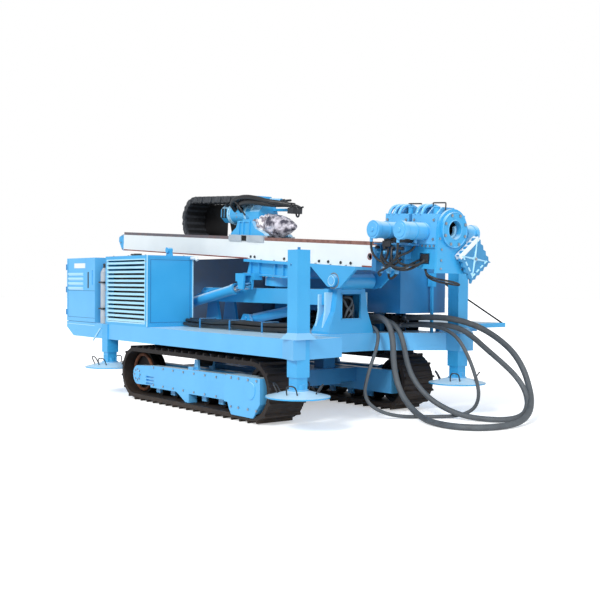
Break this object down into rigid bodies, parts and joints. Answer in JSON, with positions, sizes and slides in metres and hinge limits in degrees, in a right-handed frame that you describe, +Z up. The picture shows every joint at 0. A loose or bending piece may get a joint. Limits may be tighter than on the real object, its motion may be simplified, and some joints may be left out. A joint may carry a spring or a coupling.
{
  "type": "crawler drilling rig",
  "caption": "Crawler drilling rig with a slewing mast on a lifting boom, a sliding drill head with a drag chain, a clamp unit at the mast's front end, and jacks at the corners",
  "frame": {"origin": "on the ground, on the centre line, between the two tracks", "axes": "+X forward along the tracks, +Y to the left, +Z up"},
  "size_m": [5.7309, 2.9, 2.2538],
  "materials": {
    "paint_blue": "glossy",
    "paint_white": "satin",
    "paint_grey": "satin",
    "rail_steel": "satin",
    "track_steel": "matte",
    "roller_steel": "satin",
    "rod_chrome": "polished",
    "wrapped_steel": "satin",
    "chain_plastic": "matte",
    "hose_rubber": "matte"
  },
  "bodies": {
    "carrier": {"track_right": "track_steel", "track_left": "track_steel", "track_frame_right": "paint_blue", "track_frame_left": "paint_blue", "track_wheels": "roller_steel", "car_body": "paint_blue", "deck_frame": "paint_blue", "deck_corner_right": "paint_blue", "deck_corner_left": "paint_blue", "jack_tubes": "paint_blue", "power_box": "paint_blue", "louvre_panel": "paint_blue", "engine_block": "roller_steel", "rear_cabinet": "paint_blue", "front_tank": "paint_blue", "rear_tank": "paint_blue", "platform": "paint_blue", "guard_post": "paint_blue", "boom_bracket": "paint_blue", "hose_manifold": "paint_blue", "hose_a": "hose_rubber", "hose_b": "hose_rubber", "hose_c": "hose_rubber"},
    "boom": {"boom_arm": "paint_blue", "boom_head": "paint_blue"},
    "lift_barrel": {"lift_barrel": "paint_blue"},
    "lift_rod": {"lift_rod": "rod_chrome"},
    "mast": {"mast_beam": "paint_white", "mast_rails": "rail_steel", "mast_cap": "paint_blue", "cradle": "paint_blue", "clamp_frame": "paint_blue", "clamp_ring": "paint_blue", "clamp_rear": "paint_blue", "clamp_front": "paint_blue", "tooth_plate": "paint_blue"},
    "tilt_barrel": {"tilt_barrel": "paint_blue"},
    "tilt_stage": {"tilt_stage": "rod_chrome"},
    "tilt_rod": {"tilt_rod": "rod_chrome"},
    "head": {"head_carriage": "paint_grey", "head_gearbox": "paint_blue", "head_motor": "paint_blue", "chain_bracket": "paint_blue", "chain_upper": "chain_plastic"},
    "spindle": {"spindle": "wrapped_steel"},
    "chain": {"chain_loop": "chain_plastic"},
    "cabinet_door": {"cabinet_door": "paint_blue"},
    "jack_leg_front_right": {"jack_leg_front_right": "paint_blue"},
    "jack_leg_front_left": {"jack_leg_front_left": "paint_blue"},
    "jack_leg_rear_right": {"jack_leg_rear_right": "paint_blue"},
    "jack_leg_rear_left": {"jack_leg_rear_left": "paint_blue"}
  },
  "joints": [
    {"name": "boom_lift", "type": "hinge", "parent": "carrier", "child": "boom", "pos_m": [-0.76, 0, 1.135], "axis": [0, -1, 0], "range_deg": [0, 20]},
    {"name": "lift_swing", "type": "hinge", "parent": "carrier", "child": "lift_barrel", "pos_m": [-0.16, 0, 0.88], "axis": [0, -1, 0], "range_deg": [0, 30.03]},
    {"name": "lift_stroke", "type": "slide", "parent": "lift_barrel", "child": "lift_rod", "axis": [0.9889, 0, 0.1483], "range_m": [0, 0.1652]},
    {"name": "mast_tilt", "type": "hinge", "parent": "boom", "child": "mast", "pos_m": [1.5, 0, 1.29], "axis": [0, 1, 0], "range_deg": [0, 86.75], "deforming": ["hose_a", "hose_b", "hose_c"]},
    {"name": "tilt_swing", "type": "hinge", "parent": "boom", "child": "tilt_barrel", "pos_m": [-1.15, -0.345, 0.985], "axis": [0, -1, 0], "range_deg": [0, 21.91]},
    {"name": "tilt_stage_stroke", "type": "slide", "parent": "tilt_barrel", "child": "tilt_stage", "axis": [0.9833, 0, 0.1821], "range_m": [0, 0.8067]},
    {"name": "tilt_rod_stroke", "type": "slide", "parent": "tilt_stage", "child": "tilt_rod", "axis": [0.9833, 0, 0.1821], "range_m": [0, 0.8067]},
    {"name": "head_feed", "type": "slide", "parent": "mast", "child": "head", "axis": [0.9984, 0, -0.0567], "range_m": [-1, 1.5], "deforming": ["chain_upper"]},
    {"name": "spindle_spin", "type": "hinge", "parent": "head", "child": "spindle", "pos_m": [-0.00236, 0, 1.87311], "axis": [0.9984, 0, -0.0567], "continuous": true},
    {"name": "chain_bend", "type": "slide", "parent": "head", "child": "chain", "axis": [0.9984, 0, -0.0567], "range_m": [-0.7501, 0.5001]},
    {"name": "cabinet_door_hinge", "type": "hinge", "parent": "carrier", "child": "cabinet_door", "pos_m": [-2.6, -1.04, 1.1], "axis": [0, 0, -1], "range_deg": [0, 100]},
    {"name": "jack_front_right", "type": "slide", "parent": "carrier", "child": "jack_leg_front_right", "axis": [0, 0, -1], "range_m": [0, 0.7]},
    {"name": "jack_front_left", "type": "slide", "parent": "carrier", "child": "jack_leg_front_left", "axis": [0, 0, -1], "range_m": [0, 0.7]},
    {"name": "jack_rear_right", "type": "slide", "parent": "carrier", "child": "jack_leg_rear_right", "axis": [0, 0, -1], "range_m": [0, 0.25]},
    {"name": "jack_rear_left", "type": "slide", "parent": "carrier", "child": "jack_leg_rear_left", "axis": [0, 0, -1], "range_m": [0, 0.25]}
  ],
  "couplings": [
    {"joint": "lift_swing", "follows": "boom_lift", "ratio": 1.5009},
    {"joint": "lift_stroke", "follows": "boom_lift", "m_per_rad": 0.47281},
    {"joint": "tilt_swing", "follows": "mast_tilt", "ratio": 0.25249},
    {"joint": "tilt_stage_stroke", "follows": "mast_tilt", "m_per_rad": 0.53271},
    {"joint": "tilt_rod_stroke", "follows": "mast_tilt", "m_per_rad": 0.53271},
    {"joint": "chain_bend", "follows": "head_feed", "ratio": -0.5}
  ]
}
